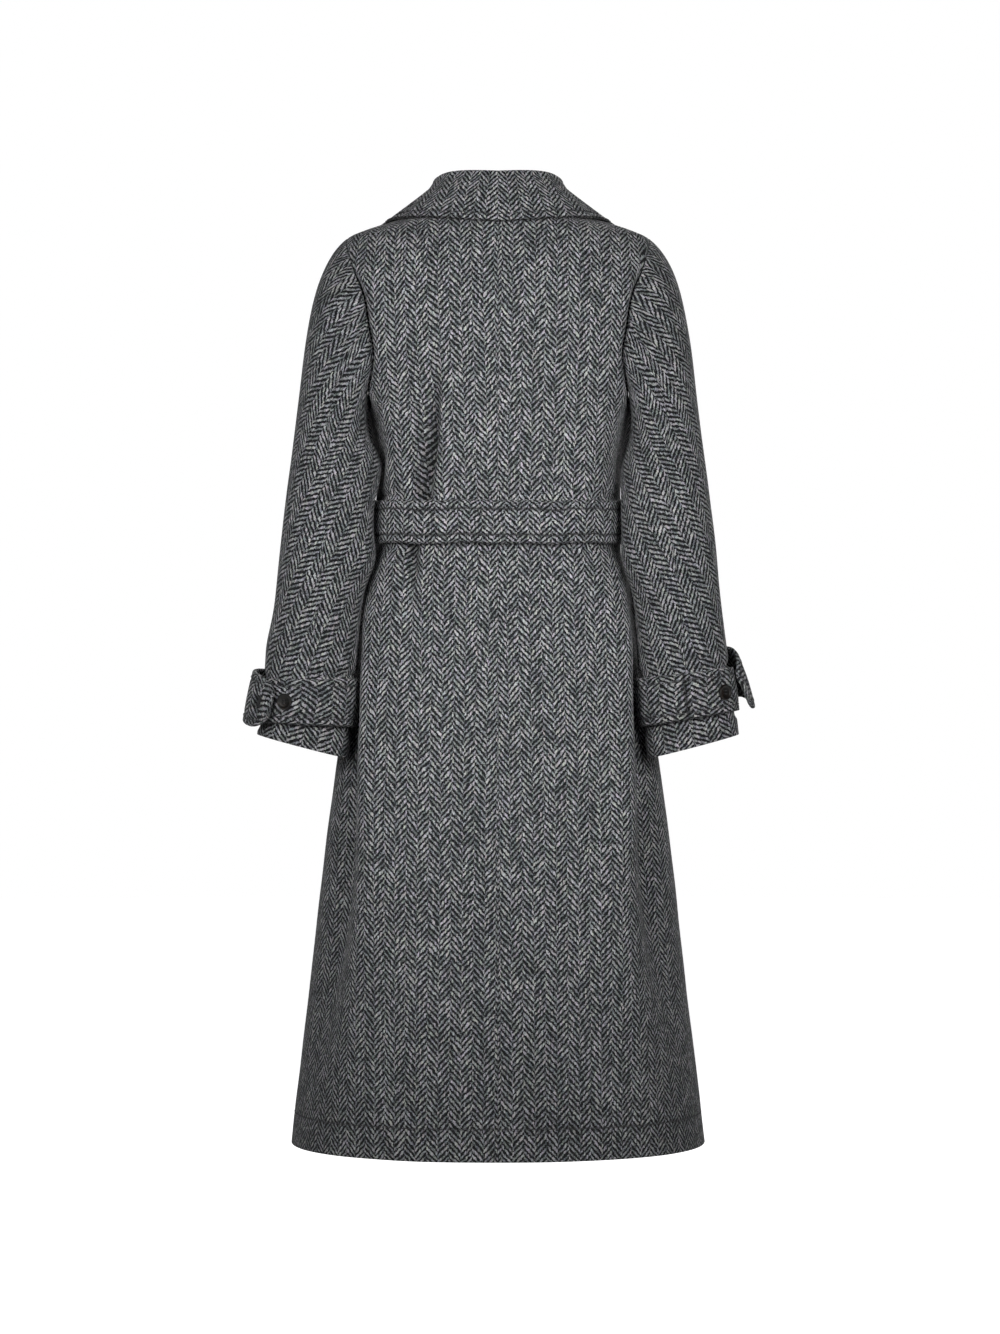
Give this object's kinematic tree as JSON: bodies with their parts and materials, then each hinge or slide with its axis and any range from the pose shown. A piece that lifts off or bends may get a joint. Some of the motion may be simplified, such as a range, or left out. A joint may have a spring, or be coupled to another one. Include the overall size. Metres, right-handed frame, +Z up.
{
  "type": "belted coat",
  "caption": "Long belted herringbone wool coat in its worn form, hollow inside, with a fold-over collar, lapels, a tied waist belt and strapped sleeve cuffs.",
  "frame": {"origin": "point midway between the shoulders, level with the base of the collar, where the wearer or a hanger carries the coat", "axes": "+Z up along the coat from hem to collar, the front faces -Y, +X towards the wearer's left"},
  "size_m": [0.607, 0.3722, 1.1624],
  "materials": {
    "coat_cloth": "heavy wool herringbone, charcoal and pale grey, matt with a soft nap",
    "button": "dark brown-black, half gloss"
  },
  "bodies": {
    "root": {"back_left": "coat_cloth", "back_right": "coat_cloth", "skirt_back_left": "coat_cloth", "skirt_back_right": "coat_cloth", "front_left": "coat_cloth", "front_right": "coat_cloth", "lapel_left": "coat_cloth", "lapel_right": "coat_cloth", "collar": "coat_cloth", "sleeve_upper_left": "coat_cloth", "sleeve_upper_right": "coat_cloth", "sleeve_under_left": "coat_cloth", "sleeve_under_right": "coat_cloth", "cuff_band_left": "coat_cloth", "cuff_band_right": "coat_cloth", "cuff_tab_left": "coat_cloth", "cuff_tab_right": "coat_cloth", "belt": "coat_cloth", "belt_knot": "coat_cloth", "belt_tail_left": "coat_cloth", "belt_tail_right": "coat_cloth", "cuff_button_left": "button", "cuff_button_right": "button"}
  },
  "joints": []
}
